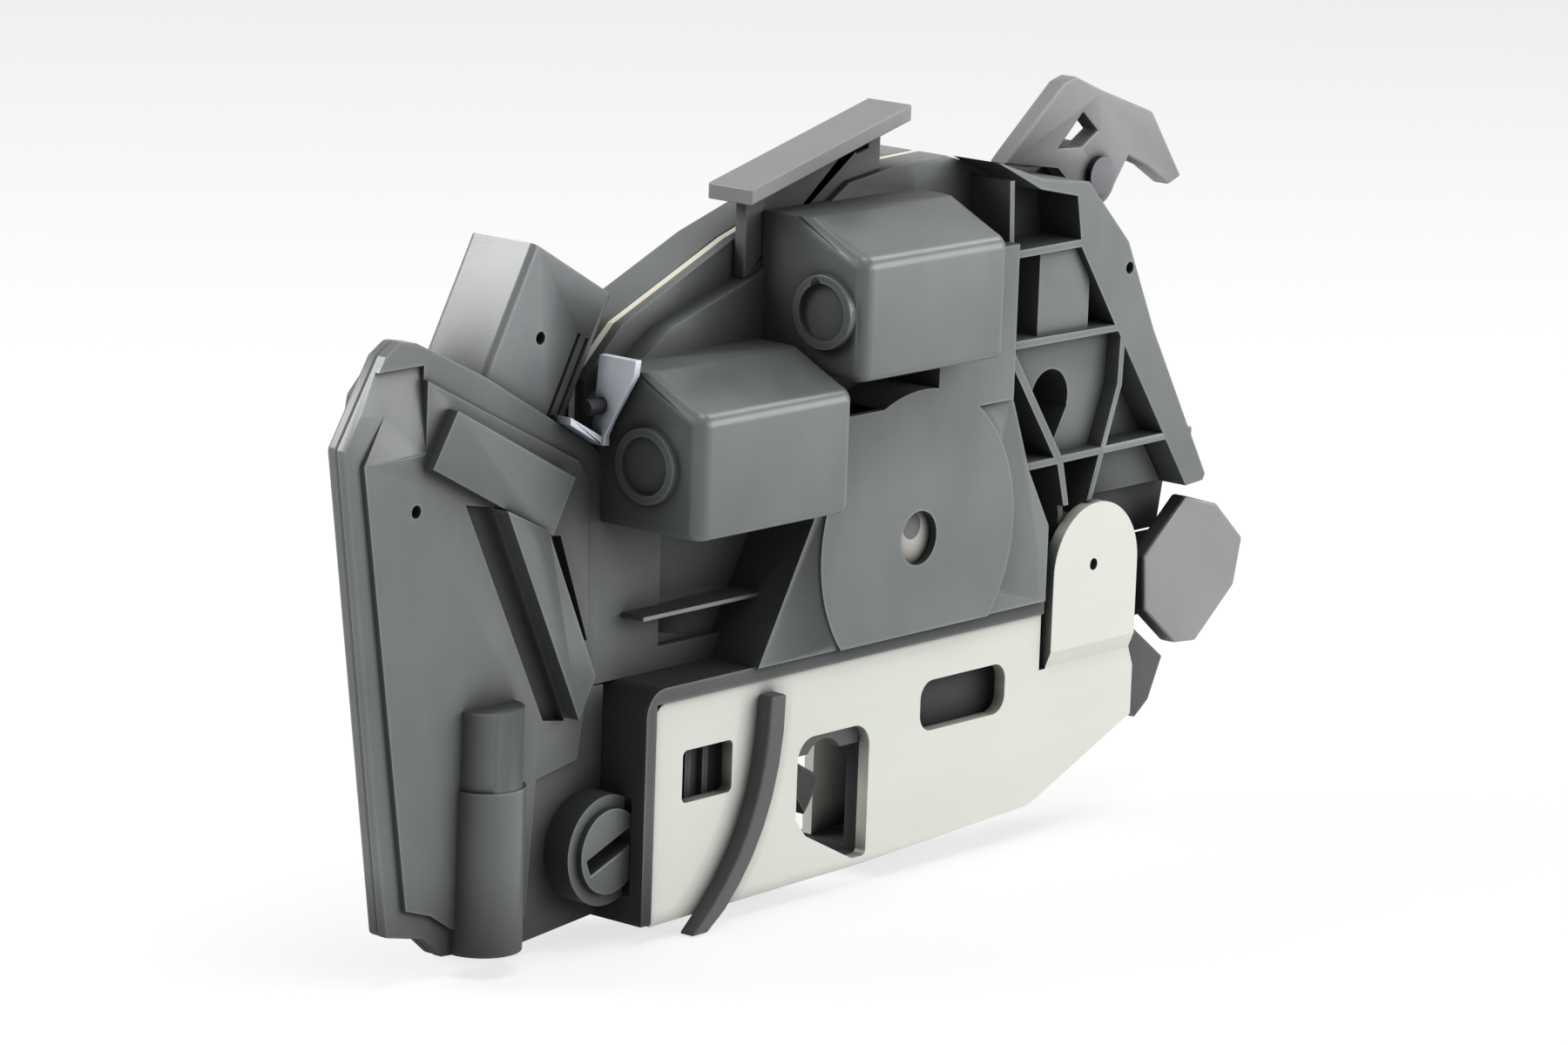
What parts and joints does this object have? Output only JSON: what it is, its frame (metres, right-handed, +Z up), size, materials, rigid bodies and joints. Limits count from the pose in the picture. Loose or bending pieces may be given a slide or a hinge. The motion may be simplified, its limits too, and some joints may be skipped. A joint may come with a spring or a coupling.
{
  "type": "car door lock",
  "caption": "Motorised car door lock with a steel latch plate, claw and pawl, motor housings, side case with connector, key rotor and release lever.",
  "frame": {"origin": "lower left corner of the latch plate on its front face", "axes": "+X along the latch plate away from the side case, +Y back into the door, +Z up"},
  "size_m": [0.2538, 0.0438, 0.1481],
  "materials": {
    "black_plastic": "satin moulded plastic",
    "zinc_plate": "pale satin coat",
    "bare_steel": "bright drawn",
    "dark_steel": "dark phosphated",
    "soft_seal": "soft foam",
    "black_rubber": "dull",
    "white_plastic": "moulded",
    "brass_pins": "tinned"
  },
  "bodies": {
    "housing": {"back_sheet": "zinc_plate", "circuit_carrier": "black_plastic", "claw_pin": "bare_steel", "claw_spring": "dark_steel", "connector_shell": "black_plastic", "cover_screws": "dark_steel", "deadlock_gear_pin": "bare_steel", "deadlock_motor": "bare_steel", "edge_strip": "black_rubber", "front_cover": "black_plastic", "guide_rail": "black_plastic", "housing_seal": "soft_seal", "latch_carrier": "black_plastic", "latch_plate": "zinc_plate", "lever_pin": "dark_steel", "lock_gear_pin": "bare_steel", "lock_motor": "bare_steel", "microswitches": "black_plastic", "pawl_pin": "bare_steel", "pawl_spring": "dark_steel", "rear_cover": "black_plastic", "side_case": "black_plastic", "side_cover": "black_plastic", "slot_bumper": "black_rubber", "steel_strip": "bare_steel", "strip_pin": "dark_steel", "terminals": "brass_pins"},
    "claw": {"claw": "bare_steel", "claw_jacket": "black_plastic"},
    "pawl": {"pawl": "dark_steel"},
    "key_rotor": {"key_rotor": "black_plastic"},
    "lock_gear": {"lock_gear": "white_plastic"},
    "lock_worm": {"lock_worm": "brass_pins"},
    "lock_lever": {"lock_lever": "dark_steel"},
    "deadlock_gear": {"deadlock_gear": "white_plastic"},
    "deadlock_worm": {"deadlock_worm": "brass_pins"},
    "release_lever": {"release_lever": "black_plastic"},
    "backup_knob": {"backup_knob": "black_plastic"}
  },
  "joints": [
    {"name": "claw_turn", "type": "hinge", "parent": "housing", "child": "claw", "pos_m": [0.035, 0.0087, 0.025], "axis": [0, -1, 0], "range_deg": [0, 36], "stiffness_Nm_per_rad": 0.02},
    {"name": "pawl_turn", "type": "hinge", "parent": "housing", "child": "pawl", "pos_m": [0.06, 0.0087, 0.0372], "axis": [0, 1, 0], "range_deg": [-3, 0.8], "stiffness_Nm_per_rad": 0.02},
    {"name": "key_turn", "type": "hinge", "parent": "housing", "child": "key_rotor", "pos_m": [-0.008, 0.0072, 0.0153], "axis": [0, 1, 0], "range_deg": [-60, 60]},
    {"name": "lock_gear_turn", "type": "hinge", "parent": "housing", "child": "lock_gear", "pos_m": [0.0715, 0.0019, 0.0655], "axis": [0, 1, 0], "range_deg": [-50, 50]},
    {"name": "lock_worm_turn", "type": "hinge", "parent": "housing", "child": "lock_worm", "pos_m": [0.0715, 0.002, 0.0864], "axis": [1, 0, 0], "range_deg": [-2000, 2000]},
    {"name": "lock_lever_turn", "type": "hinge", "parent": "housing", "child": "lock_lever", "pos_m": [0.0715, 0.0077, 0.0655], "axis": [0, 1, 0], "range_deg": [-20, 20]},
    {"name": "deadlock_gear_turn", "type": "hinge", "parent": "housing", "child": "deadlock_gear", "pos_m": [0.0876, 0.0019, 0.0981], "axis": [0, 1, 0], "range_deg": [-60, 60]},
    {"name": "deadlock_worm_turn", "type": "hinge", "parent": "housing", "child": "deadlock_worm", "pos_m": [0.0876, 0.002, 0.1102], "axis": [1, 0, 0], "range_deg": [-1080, 1080]},
    {"name": "release_turn", "type": "hinge", "parent": "housing", "child": "release_lever", "pos_m": [0.141, 0.014, 0.1245], "axis": [0, 1, 0], "range_deg": [0, 12], "stiffness_Nm_per_rad": 0.05},
    {"name": "knob_turn", "type": "hinge", "parent": "housing", "child": "backup_knob", "pos_m": [0.1645, 0.0034, 0.0435], "axis": [0, 1, 0], "range_deg": [-25, 25]}
  ],
  "couplings": [
    {"joint": "lock_worm_turn", "follows": "lock_gear_turn", "ratio": 40},
    {"joint": "lock_lever_turn", "follows": "lock_gear_turn", "ratio": 0.4},
    {"joint": "deadlock_worm_turn", "follows": "deadlock_gear_turn", "ratio": 18}
  ]
}
